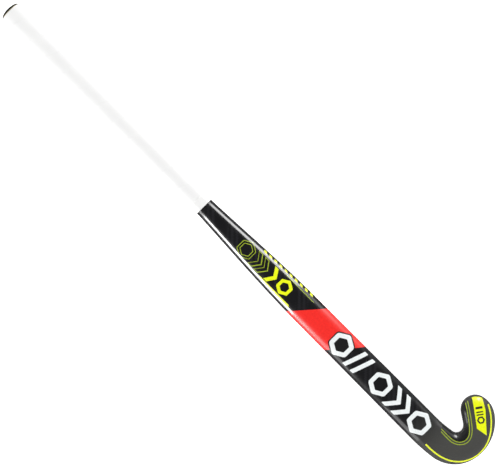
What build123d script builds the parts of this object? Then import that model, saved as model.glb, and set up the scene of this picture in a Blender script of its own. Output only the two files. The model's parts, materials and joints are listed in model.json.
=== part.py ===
"""A full-size composite field hockey stick, lying on its flat playing face.

The stick lies along X with the handle at -X and the head at +X. Its toe points to +Y
and its rounded back faces +Z. Z is 0 on the surface it rests on, and the origin is the
middle of its bounding box at that height. Lengths are in millimetres.

Every station is measured along the shaft's axis from the tip of the end cap, and every
distance across from that axis, so most sketches are drawn in the local frame of REST.
"""

import os
from math import atan, cos, radians, sin

from build123d import *

# --- Overall size ------------------------------------------------------------------
LENGTH = 927.0  # 36.5 inches, the usual adult length
NECK_WIDTH = 47.0  # across the shaft where the head begins
SHAFT_WIDTH = 44.6  # just below the taper
HANDLE_WIDTH = 27.0  # of the bare tube under the grip
HEAD_DEPTH = 20.5  # from playing face to back
SHAFT_DEPTH = 22.5
HANDLE_DEPTH = 24.5
BACK_RADIUS = 12.0  # edges of the rounded back
FACE_RADIUS = 4.0  # edges of the flat playing face
HANDLE_FACE_RADIUS = 10.0  # the same edges where the tube is nearly round

# --- Stations along the axis ---------------------------------------------------------
CAP_RIM = 5.0  # the end cap meets the grip
TAPER_START, TAPER_END = 375.0, 610.0  # the tube widens into the blade
TAPER_POWER = 0.8  # below 1, so that the taper opens early and closes slowly
BOW_PEAK = 610.0
GRIP_END = 396.5
SECTION_COUNT = 25  # sections in each loft

# --- Bow: the face is hollow along its length -------------------------------------------
BOW_DEPTH = 20.0  # gap under the shaft at its highest point; 25 mm is the most allowed
BUTT_CENTRE = 15.4  # height of the handle's axis at the butt

# --- Head outline: arcs that follow on from each other, as (radius, sweep in degrees) -----
HEEL_ARC, BASE_ARC, END_ARC = (317.0, 7.4), (53.1, 69.6), (64.0, 67.3)
TOE_OUTER_ARC, TOE_TIP_ARC = (35.1, 48.2), (21.1, 134.4)
OUTER_ARCS = (HEEL_ARC, BASE_ARC, END_ARC, TOE_OUTER_ARC, TOE_TIP_ARC)
CROOK_ARCS = ((17.0, 18.9), (9.6, 117.8), (176.0, 10.2))  # these turn the other way

# --- Laminates and cores ------------------------------------------------------------
LAMINATE = 2.0  # outer laminate's wall
PLY = 1.2  # inner tubes' wall, and the impact ply
PLUG_END = 42.0  # the butt plug fills the tube to here
FOAM_START = 430.0  # the inner tubes are hollow above here
WEIGHT_RADIUS, WEIGHT_LENGTH = 7.0, 14.0

# --- Handle layers and end cap ---------------------------------------------------------
BASE_LAYER = 0.55  # knob, damping sleeve and underwrap are one layer under the grip
KNOB_END, DAMPER_END, WRAP_END = 88.0, 300.0, 380.0
KNOB_FLARE, LIP_FLARE = 2.6, 1.2  # the knob's extra width: its cone, and its last few mm
GRIP_TAPE = 0.95
FINISH_TAPE, FINISH_WIDTH = 0.35, 14.0
CAP_RADIUS, CAP_BAND = 15.5, 0.8  # the band is the straight part of the cap's side
SPIGOT_RADIUS, SPIGOT_LENGTH = 6.0, 12.0

# --- Transfer films under the lacquer; a point is (station, distance across) ---------------
FILM = 0.12
TALL = 80.0  # higher than any part of the stick
CORNER_STROKE = 1.12  # a ring's wall at its corners, for each millimetre of its stroke
BAND_MIDDLE, BAND_LENGTH = 641.6, 77.6
BAND_LEAN, BAND_WIDTH = 43.5, 50.0  # its ends lean this far over this width
WHITE_ROW, WHITE_HEIGHT, WHITE_LEAN = 0.2, 34.0, 12.0
WHITE_STROKE, WHITE_RADIUS = 6.6, 18.6
WHITE_RINGS, WHITE_BARS, WHITE_ARROWS = (673.0, 753.0, 831.5), (701.0, 716.0), (783.0, 801.0)
ARROW_STROKE, ARROW_REACH = 8.2, 14.0  # both along the shaft
GROUND_RADIUS = 20.6  # bare laminate left inside and round the first ring
LIME_ROW, LIME_HEIGHT = 0.4, 24.4
LIME_ARROW, LIME_ARROW_STROKE, LIME_ARROW_REACH = 535.0, 6.4, 8.0
LIME_RING, LIME_STROKE, LIME_RADIUS = 558.0, 4.6, 12.4
UNDERLINE = (551.9, -14.2, 59.0, 2.4, -2.4)  # station, across, length, height, lean
RAIL = (575.4, 14.6, 55.0, 0.9, 0.0)
OUTLINE_ROW, OUTLINE_STROKE = -0.3, 1.0
OUTLINE_RING, OUTLINE_RADII = 482.5, (14.4, 10.2)
OUTLINE_ARROWS = (504.5, 517.0)
OUTLINE_ARROW = (8.0, 24.6, 9.0)  # stroke, height and reach of the outer line
OUTLINE_HOLE = (5.4, 22.6, 8.4)  # and of the inner one
DASH_COUNT, DASH_LENGTH, DASH_HEIGHT, DASH_LEAN = 10, 5.2, 2.7, -2.4
DASH_FIRST, DASH_LAST = (504.2, 16.6), (592.6, 20.0)
EDGE_LINE, PINSTRIPE = 2.2, 1.1
EDGE_PATH = (
    (859.9, -14.4), (872.7, -14.1), (888.9, -11.3), (904, -4.4), (916.3, 7.8), (923.3, 24.8),
    (923.2, 41.9), (917.3, 57.2), (905.9, 71.8), (894, 82.2), (882.6, 89.3),
)
OUTER_PINSTRIPE = (
    (862.3, 13.9), (874.1, 13.5), (885.4, 14.5), (894.3, 19.6), (899.5, 28.1), (898.7, 37.5),
    (892.5, 46.4), (880.6, 56.3), (868.6, 64.7), (858.6, 71.6),
)
INNER_PINSTRIPE = (
    (860.1, 16.9), (872.8, 16.8), (884.2, 17.9), (892, 22.2), (895.8, 29.7), (894.6, 37.6),
    (888.9, 45), (878.3, 53.8), (867.6, 61.5), (858.6, 67.7),
)
PANEL_INSET = 2.0
PANEL_CORNERS = ((850, 86.1), (895.4, 53.2), (912.1, 56.2), (884.7, 80.9), (862, 93.8))
PANEL_BARS = ((876.2, 76.2, 3.2), (881.2, 72.5, 1.9), (884.4, 70.3, 1.9))  # and their widths
PANEL_BAR_LENGTH, PANEL_TURN = 10.0, -35.0
PANEL_RING, PANEL_RING_RADIUS, PANEL_RING_STROKE, PANEL_RING_TURN = (890.8, 65.8), 5.8, 2.2, -5.0


def travel(heading):
    """How far the outer arcs go, along and across, before they head this way."""
    along, across, turned = 0.0, 0.0, 0.0
    for radius, sweep in OUTER_ARCS:
        swept = min(turned + radians(sweep), radians(heading))
        along += radius * (sin(swept) - sin(turned))
        across += radius * (cos(turned) - cos(swept))
        turned = swept
    return along, across


HALF = NECK_WIDTH / 2
HEAD_START = LENGTH - travel(90)[0]  # the outline begins to curve
TOE_TOP = travel(180)[1] - HALF
NECK = HEAD_START - 4.0  # the shaft's loft ends and the head's block begins

# The surface that the stick rests on, with its origin below the tip of the end cap.
REST = Plane(origin=(-LENGTH / 2, -(TOE_TOP - HALF) / 2, 0))


def ease(t):
    """0 to 1 with no slope at either end."""
    t = min(max(t, 0.0), 1.0)
    return t * t * (3 - 2 * t)


def soft_ease(t):
    """0 to 1 with no slope and no curvature at either end."""
    t = min(max(t, 0.0), 1.0)
    return t**3 * (10 - 15 * t + 6 * t * t)


def widening(station):
    """How far the tube has turned into the blade."""
    return ease(max((station - TAPER_START) / (TAPER_END - TAPER_START), 0) ** TAPER_POWER)


def lower_shaft(station):
    """How far down the blade a station lies, from the taper to the neck."""
    return ease((station - TAPER_END) / (NECK - TAPER_END))


def width_at(station):
    """The bare shaft's width."""
    return (
        HANDLE_WIDTH
        + (SHAFT_WIDTH - HANDLE_WIDTH) * widening(station)
        + (NECK_WIDTH - SHAFT_WIDTH) * lower_shaft(station)
    )


def depth_at(station):
    """The bare shaft's depth, from playing face to back."""
    return (
        HANDLE_DEPTH
        + (SHAFT_DEPTH - HANDLE_DEPTH) * widening(station)
        + (HEAD_DEPTH - SHAFT_DEPTH) * lower_shaft(station)
    )


def face_radius_at(station):
    """The playing face's edge radius."""
    return HANDLE_FACE_RADIUS + (FACE_RADIUS - HANDLE_FACE_RADIUS) * widening(station)


def centre_height(station):
    """Height of the shaft's middle above the surface it rests on, which makes the bow."""
    peak = BOW_DEPTH + depth_at(BOW_PEAK) / 2
    if station < BOW_PEAK:
        return peak - (peak - BUTT_CENTRE) * ((BOW_PEAK - station) / BOW_PEAK) ** 2
    fall = soft_ease((station - BOW_PEAK) / (NECK - BOW_PEAK))
    return peak + (HEAD_DEPTH / 2 - peak) * fall


def slope_at(station):
    """How fast the shaft's middle rises there."""
    peak = BOW_DEPTH + depth_at(BOW_PEAK) / 2
    if station < BOW_PEAK:
        return 2 * (peak - BUTT_CENTRE) * (BOW_PEAK - station) / BOW_PEAK**2
    span = NECK - BOW_PEAK
    t = min((station - BOW_PEAK) / span, 1.0)
    return 30 * (t * (1 - t)) ** 2 * (HEAD_DEPTH / 2 - peak) / span


def section_plane(station):
    """The plane square to the shaft there: its x is across and its y is away from the face."""
    tilt = atan(slope_at(station))
    return Plane(
        origin=REST.from_local_coords((station, 0, centre_height(station))),
        x_dir=(0, 1, 0),
        z_dir=(cos(tilt), 0, sin(tilt)),
    )


def rounded_section(station, width, depth, back_radius, face_radius, middle=0.0):
    """A rectangle across the shaft with one radius on the back and another on the face."""
    with BuildSketch(section_plane(station)) as section:
        with Locations((middle, 0)):
            Rectangle(width, depth)
        back = section.vertices().group_by(Axis.Y)[-1]
        fillet(back, back_radius)
        face = section.vertices().group_by(Axis.Y)[0]
        fillet(face, face_radius)
    return section.sketch


def bare_section(station, more):
    """The bare shaft's section with more added to its width and depth."""
    return rounded_section(
        station,
        width_at(station) + more,
        depth_at(station) + more,
        BACK_RADIUS + more / 2,
        face_radius_at(station) + more / 2,
    )


def stations(first, last):
    """Evenly spaced stations for a loft, both ends included."""
    step = (last - first) / (SECTION_COUNT - 1)
    return [first + step * number for number in range(SECTION_COUNT)]


def shaft_form(inset):
    """The shaft from the end cap to the head as a solid, taken in by inset all round."""
    with BuildPart() as form:
        for station in stations(CAP_RIM, NECK):
            add(bare_section(station, -2 * inset))
        loft()
    return form.part


def knob_flare(station):
    """How much wider than the rest of the grip the knob is there."""
    up = max((KNOB_END - station) / (KNOB_END - CAP_RIM), 0.0)
    return KNOB_FLARE * up + LIP_FLARE * up**6


def handle_form(thickness):
    """The handle with layers of this thickness over it, as a solid with its knob's flare."""
    with BuildPart() as form:
        for station in stations(CAP_RIM, GRIP_END):
            add(bare_section(station, 2 * thickness + knob_flare(station)))
        loft()
    return form.part


def between(solid, first, last):
    """The stretch of a solid between two stations."""
    with BuildPart() as stretch:
        add(solid)
        if first > CAP_RIM:
            split(bisect_by=section_plane(first), keep=Keep.TOP)
        if last < NECK:
            split(bisect_by=section_plane(last), keep=Keep.BOTTOM)
    return stretch.part


def one_side(solid, side, gap=0.0):
    """The toe side (1) or heel side (-1) of a solid, from gap off the shaft's axis."""
    cut = Plane(REST.from_local_coords((0, side * gap, 0)), z_dir=(0, side, 0))
    with BuildPart() as half:
        add(solid)
        split(bisect_by=cut, keep=Keep.TOP)
    return half.part


def toe_shank_length():
    """The straight stretch from the toe to the crook that brings the outline back level."""
    heading, rise = 0.0, 0.0
    for radius, sweep in OUTER_ARCS:
        turned = heading + radians(sweep)
        rise += radius * (cos(heading) - cos(turned))
        heading = turned
    shank_heading = heading
    for radius, sweep in CROOK_ARCS:
        turned = heading - radians(sweep)
        rise -= radius * (cos(heading) - cos(turned))
        heading = turned
    return (NECK_WIDTH - rise) / sin(shank_heading)


def head_outline(inset):
    """The head's outline taken in by inset, in the local frame of REST."""
    with BuildSketch() as outline:
        with BuildLine() as edge:
            Line((NECK, -HALF + inset), (HEAD_START, -HALF + inset))
            for radius, sweep in OUTER_ARCS:
                last = edge.edges()[-1]
                JernArc(last @ 1, last % 1, radius - inset, sweep)
            last = edge.edges()[-1]
            Line(last @ 1, (last @ 1) + (last % 1) * toe_shank_length())
            for radius, sweep in CROOK_ARCS:
                last = edge.edges()[-1]
                JernArc(last @ 1, last % 1, radius + inset, -sweep)
            Polyline(edge.edges()[-1] @ 1, (NECK, HALF - inset), (NECK, -HALF + inset))
        make_face()
    return outline.sketch


def head_form(inset):
    """The head as a solid, taken in by inset all round."""
    with BuildPart() as form:
        with BuildSketch(REST.offset(inset)):
            add(head_outline(inset))
        extrude(amount=HEAD_DEPTH - 2 * inset)
        neck_edges = form.edges().group_by(Axis.X)[0]
        rims = form.edges().group_by(Axis.Z)
        fillet(rims[-1] - neck_edges, BACK_RADIUS - inset)
        face_rim = form.edges().group_by(Axis.Z)[0] - form.edges().group_by(Axis.X)[0]
        fillet(face_rim, FACE_RADIUS - inset)
    return form.part


def stick_form(inset):
    """Shaft and head as one solid, taken in by inset all round."""
    with BuildPart() as form:
        add(shaft_form(inset))
        add(head_form(inset))
    return form.part


def back_region():
    """Everything above the middle of the shaft, to keep a film off the playing face."""
    marks = stations(GRIP_END, NECK)
    middle = [(station - LENGTH / 2, centre_height(station)) for station in marks]
    right = LENGTH / 2 + 1
    with BuildPart() as region:
        with BuildSketch(Plane.XZ):
            with BuildLine():
                spine = Spline(*middle, tangents=[(1, slope_at(marks[0])), (1, 0)])
                Polyline(spine @ 1, (right, HEAD_DEPTH / 2), (right, TALL))
                Polyline((right, TALL), (middle[0][0], TALL), spine @ 0)
            make_face()
        extrude(amount=TALL, both=True)
    return region.part


def film(skin, outline):
    """The part of a skin that lies under or over an outline drawn on the rest plane."""
    with BuildPart() as piece:
        add(outline)
        extrude(amount=TALL, both=True)
        add(skin, mode=Mode.INTERSECT)
    return piece.part


def slash(station, across, width, height, lean):
    """A leaning bar centred there, as corners for a polygon."""
    low, high = across - height / 2, across + height / 2
    left, right = station - width / 2, station + width / 2
    return [
        (left - lean / 2, low),
        (right - lean / 2, low),
        (right + lean / 2, high),
        (left + lean / 2, high),
    ]


def chevron(station, across, stroke, height, reach):
    """An arrowhead pointing along the shaft, as corners for a polygon."""
    half = height / 2
    left, right = station - (reach + stroke) / 2, station + (reach + stroke) / 2
    return [
        (left, across - half),
        (left + stroke, across - half),
        (right, across),
        (left + stroke, across + half),
        (left, across + half),
        (right - stroke, across),
    ]


def panel(corners):
    """A flat shape with these corners, in the local frame of REST."""
    with BuildSketch() as shape:
        with BuildLine():
            Polyline(*corners, close=True)
        make_face()
    return shape.sketch


def ring(centre, radius, stroke, turn=30.0):
    """A six-sided ring round a point, in the local frame of REST."""
    with BuildSketch() as shape:
        with Locations(centre):
            RegularPolygon(radius, 6, rotation=turn)
            RegularPolygon(radius - stroke * CORNER_STROKE, 6, rotation=turn, mode=Mode.SUBTRACT)
    return shape.sketch


def line_along(path, width):
    """A line of even width that runs smoothly through points, in the local frame of REST."""
    with BuildSketch() as shape:
        with BuildLine():
            Spline(*path)
        trace(line_width=width)
    return shape.sketch


# --- The moulded stick: laminate, inner tubes and cores ------------------------------------
whole = stick_form(0)
cavity_shaft = shaft_form(LAMINATE)
cavity_head = head_form(LAMINATE)
bore = between(shaft_form(LAMINATE + PLY), PLUG_END, NECK)

with BuildPart() as outer_laminate:
    add(whole)
    add(cavity_shaft, mode=Mode.SUBTRACT)
    add(cavity_head, mode=Mode.SUBTRACT)

with BuildPart() as toe_side_tube:
    add(one_side(between(cavity_shaft, PLUG_END, NECK), 1))
    add(one_side(bore, 1, PLY), mode=Mode.SUBTRACT)

with BuildPart() as heel_side_tube:
    add(one_side(between(cavity_shaft, PLUG_END, NECK), -1))
    add(one_side(bore, -1, PLY), mode=Mode.SUBTRACT)

with BuildPart() as toe_side_foam:
    add(one_side(between(bore, FOAM_START, NECK), 1, PLY))

with BuildPart() as heel_side_foam:
    add(one_side(between(bore, FOAM_START, NECK), -1, PLY))

ply_top = REST.offset(LAMINATE + PLY)
with BuildPart() as head_core:
    add(cavity_head)
    split(bisect_by=ply_top, keep=Keep.TOP)

with BuildPart() as impact_ply:
    add(cavity_head)
    split(bisect_by=ply_top, keep=Keep.BOTTOM)

# --- Butt: plug, weight and cap ----------------------------------------------------------
butt = section_plane(CAP_RIM)
plug_foot = section_plane(PLUG_END)

with BuildPart() as balance_weight:
    with BuildSketch(plug_foot):
        Circle(WEIGHT_RADIUS)
    extrude(amount=-WEIGHT_LENGTH)
    chamfer(balance_weight.edges().filter_by(GeomType.CIRCLE), 1)

with BuildPart() as end_cap:
    with BuildSketch(Plane(butt.origin, x_dir=butt.x_dir, z_dir=-butt.y_dir)):
        with BuildLine():
            Polyline((0, SPIGOT_LENGTH), (0, -CAP_RIM))
            dome = JernArc((0, -CAP_RIM), (1, 0), CAP_RADIUS * 2, 25)
            Line(dome @ 1, (CAP_RADIUS, -CAP_BAND))
            Polyline(
                (CAP_RADIUS, -CAP_BAND),
                (CAP_RADIUS, 0),
                (SPIGOT_RADIUS, 0),
                (SPIGOT_RADIUS, SPIGOT_LENGTH),
                (0, SPIGOT_LENGTH),
            )
        make_face()
    revolve(axis=Axis(butt.origin, butt.z_dir))

with BuildPart() as butt_plug:
    add(between(cavity_shaft, CAP_RIM, PLUG_END))
    add(end_cap.part, mode=Mode.SUBTRACT)
    with BuildSketch(plug_foot):
        Circle(WEIGHT_RADIUS)
    extrude(amount=-WEIGHT_LENGTH, mode=Mode.SUBTRACT)

# --- Handle layers -------------------------------------------------------------------------
base_form = handle_form(BASE_LAYER)
grip_form = handle_form(BASE_LAYER + GRIP_TAPE)
finish_form = handle_form(BASE_LAYER + GRIP_TAPE + FINISH_TAPE)

with BuildPart() as butt_knob:
    add(between(base_form, CAP_RIM, KNOB_END))
    add(whole, mode=Mode.SUBTRACT)

with BuildPart() as damping_sleeve:
    add(between(base_form, KNOB_END, DAMPER_END))
    add(whole, mode=Mode.SUBTRACT)

with BuildPart() as underwrap:
    add(between(base_form, DAMPER_END, WRAP_END))
    add(whole, mode=Mode.SUBTRACT)

with BuildPart() as grip_tape:
    add(grip_form)
    add(base_form, mode=Mode.SUBTRACT)

with BuildPart() as finishing_tape:
    add(between(finish_form, GRIP_END - FINISH_WIDTH, NECK))
    add(grip_form, mode=Mode.SUBTRACT)

# --- Transfer films ------------------------------------------------------------------------
with BuildPart() as full_skin:
    add(stick_form(-FILM))
    add(whole, mode=Mode.SUBTRACT)

with BuildPart() as back_skin:
    add(full_skin.part)
    add(back_region(), mode=Mode.INTERSECT)

with BuildSketch(REST) as white_shapes:
    for station in WHITE_RINGS:
        add(ring((station, WHITE_ROW), WHITE_RADIUS, WHITE_STROKE))
    for station in WHITE_BARS:
        add(panel(slash(station, WHITE_ROW, WHITE_STROKE, WHITE_HEIGHT, WHITE_LEAN)))
    for station in WHITE_ARROWS:
        add(panel(chevron(station, WHITE_ROW, ARROW_STROKE, WHITE_HEIGHT, ARROW_REACH)))

with BuildSketch(REST) as lime_shapes:
    add(panel(chevron(LIME_ARROW, LIME_ROW, LIME_ARROW_STROKE, LIME_HEIGHT, LIME_ARROW_REACH)))
    add(ring((LIME_RING, LIME_ROW), LIME_RADIUS, LIME_STROKE))
    add(panel(slash(*UNDERLINE)))

with BuildSketch(REST) as outline_shapes:
    for radius in OUTLINE_RADII:
        add(ring((OUTLINE_RING, OUTLINE_ROW), radius, OUTLINE_STROKE))
    for station in OUTLINE_ARROWS:
        add(panel(chevron(station, OUTLINE_ROW, *OUTLINE_ARROW)))
        add(panel(chevron(station, OUTLINE_ROW, *OUTLINE_HOLE)), mode=Mode.SUBTRACT)

with BuildSketch(REST) as dash_shapes:
    for number in range(DASH_COUNT):
        share = number / (DASH_COUNT - 1)
        station = DASH_FIRST[0] + (DASH_LAST[0] - DASH_FIRST[0]) * share
        across = DASH_FIRST[1] + (DASH_LAST[1] - DASH_FIRST[1]) * share
        add(panel(slash(station, across, DASH_LENGTH, DASH_HEIGHT, DASH_LEAN)))

with BuildSketch(REST) as rail_shape:
    add(panel(slash(*RAIL)))

with BuildSketch(REST) as band_shape:
    add(panel(slash(BAND_MIDDLE, 0, BAND_LENGTH, BAND_WIDTH, BAND_LEAN)))
    with Locations((WHITE_RINGS[0], WHITE_ROW)):
        RegularPolygon(GROUND_RADIUS, 6, rotation=30, mode=Mode.SUBTRACT)
    add(white_shapes.sketch_local, mode=Mode.SUBTRACT)

with BuildSketch(REST) as edge_shape:
    add(line_along(EDGE_PATH, EDGE_LINE))

with BuildSketch(REST) as pinstripe_shapes:
    add(line_along(OUTER_PINSTRIPE, PINSTRIPE))
    add(line_along(INNER_PINSTRIPE, PINSTRIPE))

with BuildSketch(REST) as panel_marks:
    for station, across, width in PANEL_BARS:
        with Locations(Location((station, across), PANEL_TURN)):
            Rectangle(width, PANEL_BAR_LENGTH)
    add(ring(PANEL_RING, PANEL_RING_RADIUS, PANEL_RING_STROKE, PANEL_RING_TURN))

with BuildSketch(REST) as panel_shape:
    add(panel(PANEL_CORNERS))
    add(head_outline(PANEL_INSET), mode=Mode.INTERSECT)
    add(panel_marks.sketch_local, mode=Mode.SUBTRACT)

films = {
    "red_band": film(full_skin.part, band_shape.sketch),
    "white_emblems": film(back_skin.part, white_shapes.sketch),
    "lime_emblems": film(back_skin.part, lime_shapes.sketch),
    "lime_outlines": film(back_skin.part, outline_shapes.sketch),
    "edge_dashes": film(back_skin.part, dash_shapes.sketch),
    "rail_line": film(back_skin.part, rail_shape.sketch),
    "head_edge_line": film(back_skin.part, edge_shape.sketch),
    "pinstripes": film(back_skin.part, pinstripe_shapes.sketch),
    "toe_panel": film(back_skin.part, panel_shape.sketch),
    "toe_panel_marks": film(back_skin.part, panel_marks.sketch),
}

pieces = {
    "outer_laminate": outer_laminate.part,
    "toe_side_tube": toe_side_tube.part,
    "heel_side_tube": heel_side_tube.part,
    "toe_side_foam": toe_side_foam.part,
    "heel_side_foam": heel_side_foam.part,
    "head_core": head_core.part,
    "impact_ply": impact_ply.part,
    "butt_plug": butt_plug.part,
    "balance_weight": balance_weight.part,
    "end_cap": end_cap.part,
    "butt_knob": butt_knob.part,
    "damping_sleeve": damping_sleeve.part,
    "underwrap": underwrap.part,
    "grip_tape": grip_tape.part,
    "finishing_tape": finishing_tape.part,
    **films,
}

if __name__ == "__main__":
    os.makedirs("parts", exist_ok=True)
    for name, piece in pieces.items():
        piece.label = name
        export_step(piece, f"parts/{name}.step")
        print(name, piece.is_valid, len(piece.solids()), round(piece.volume))
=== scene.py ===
"""The looks of a composite field hockey stick lying face down on a pale table.

The stick's own frame, used by every builder here, is in millimetres: `along` runs down
the shaft from the tip of the end cap, `across` is the distance from the shaft's axis
towards the toe, and `up` is the height above the table. One method turns it into the
part's frame in metres.
"""

import json
import logging
import math
from dataclasses import dataclass, field
from enum import Enum

import bmesh
import bpy
import numpy as np
from mathutils import Matrix, Vector

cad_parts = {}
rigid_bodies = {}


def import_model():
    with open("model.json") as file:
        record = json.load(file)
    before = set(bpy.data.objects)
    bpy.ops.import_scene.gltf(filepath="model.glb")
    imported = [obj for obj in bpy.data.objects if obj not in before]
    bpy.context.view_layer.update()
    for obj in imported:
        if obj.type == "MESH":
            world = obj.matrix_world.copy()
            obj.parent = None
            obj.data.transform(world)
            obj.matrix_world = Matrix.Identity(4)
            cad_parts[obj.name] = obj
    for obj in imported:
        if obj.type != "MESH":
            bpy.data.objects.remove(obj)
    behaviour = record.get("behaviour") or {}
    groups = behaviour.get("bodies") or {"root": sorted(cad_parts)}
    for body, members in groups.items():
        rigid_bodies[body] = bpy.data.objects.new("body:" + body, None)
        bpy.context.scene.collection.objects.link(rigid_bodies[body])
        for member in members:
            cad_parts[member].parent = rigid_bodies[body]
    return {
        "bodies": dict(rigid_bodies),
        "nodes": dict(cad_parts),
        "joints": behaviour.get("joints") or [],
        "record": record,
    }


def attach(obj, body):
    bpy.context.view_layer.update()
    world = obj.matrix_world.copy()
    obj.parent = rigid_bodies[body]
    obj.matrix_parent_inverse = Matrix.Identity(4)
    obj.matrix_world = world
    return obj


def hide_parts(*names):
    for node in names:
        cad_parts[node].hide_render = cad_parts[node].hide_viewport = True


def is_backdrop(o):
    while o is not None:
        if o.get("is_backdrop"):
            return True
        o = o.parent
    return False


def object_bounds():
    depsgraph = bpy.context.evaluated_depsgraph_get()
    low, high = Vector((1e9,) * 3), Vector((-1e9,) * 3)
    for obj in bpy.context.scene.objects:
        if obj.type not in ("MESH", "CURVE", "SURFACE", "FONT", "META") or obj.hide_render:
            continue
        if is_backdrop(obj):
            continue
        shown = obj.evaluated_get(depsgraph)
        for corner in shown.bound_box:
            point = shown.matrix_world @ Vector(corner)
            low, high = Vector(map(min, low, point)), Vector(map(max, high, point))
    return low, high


LOG = logging.getLogger("stick")
MM = 0.001
Points = list[tuple[float, float]]


# --- Small shared tools ------------------------------------------------------------------


def linear(colour: str) -> tuple[float, float, float, float]:
    """Turn an sRGB hex colour into linear red, green, blue and alpha.

    Args:
        colour: Six hex digits after a hash.

    Returns:
        The colour as a shader socket takes it.
    """
    parts = [int(colour[i : i + 2], 16) / 255 for i in (1, 3, 5)]
    red, green, blue = (
        c / 12.92 if c <= 0.04045 else ((c + 0.055) / 1.055) ** 2.4 for c in parts
    )
    return (red, green, blue, 1.0)


def add_node(
    tree: bpy.types.NodeTree,
    kind: str,
    settings: dict[str, object] | None = None,
    values: dict[str | int, object] | None = None,
    links: dict[str | int, bpy.types.NodeSocket | bpy.types.Node] | None = None,
) -> bpy.types.Node:
    """Add a node with its settings, its constant inputs and its incoming links.

    Args:
        tree: The shader or geometry tree.
        kind: The node's type name.
        settings: Attributes of the node itself, such as its operation.
        values: Constants by input name or number.
        links: Sockets to link by input name or number; a node stands for its first output.

    Returns:
        The new node.
    """
    node = tree.nodes.new(kind)
    for name, value in (settings or {}).items():
        setattr(node, name, value)
    for name, value in (values or {}).items():
        node.inputs[name].default_value = value
    for name, source in (links or {}).items():
        whole = isinstance(source, bpy.types.Node)
        tree.links.new(source.outputs[0] if whole else source, node.inputs[name])
    return node


def add_object(name: str, data: bpy.types.ID | None) -> bpy.types.Object:
    """Put new data into the scene as an object at the origin."""
    made = bpy.data.objects.new(name, data)
    bpy.context.scene.collection.objects.link(made)
    return made


def turn_outwards(mesh: bpy.types.Mesh) -> None:
    """Turn the faces of a closed mesh outwards."""
    work = bmesh.new()
    work.from_mesh(mesh)
    bmesh.ops.recalc_face_normals(work, faces=work.faces)
    work.to_mesh(mesh)
    work.free()


def new_geometry_tree(
    name: str, kinds: dict[str, str]
) -> tuple[bpy.types.NodeTree, dict[str, bpy.types.NodeTreeInterfaceSocket]]:
    """Start a geometry tree with named inputs and one output.

    Args:
        name: The tree's name.
        kinds: Each input's socket type, without its prefix, by name.

    Returns:
        The tree and its inputs by name.
    """
    tree = bpy.data.node_groups.new(name, "GeometryNodeTree")
    tree.interface.new_socket("Geometry", in_out="OUTPUT", socket_type="NodeSocketGeometry")
    sockets = {
        key: tree.interface.new_socket(key, in_out="INPUT", socket_type="NodeSocket" + kind)
        for key, kind in kinds.items()
    }
    return tree, sockets


def ease(t: np.ndarray | float) -> np.ndarray | float:
    """Give 0 to 1 with no slope at either end."""
    t = np.clip(t, 0.0, 1.0)
    return t * t * (3 - 2 * t)


# --- The stick's form -----------------------------------------------------------------------


@dataclass
class Profile:
    """A section's edge, from the flat of the back round the side to the flat of the face.

    Attributes:
        inset: Distance in from the outline at each point.
        up: Height of each point.
        out: Outward part of each point's normal.
        lift: Upward part of each point's normal.
    """

    inset: np.ndarray
    up: np.ndarray
    out: np.ndarray
    lift: np.ndarray


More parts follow.
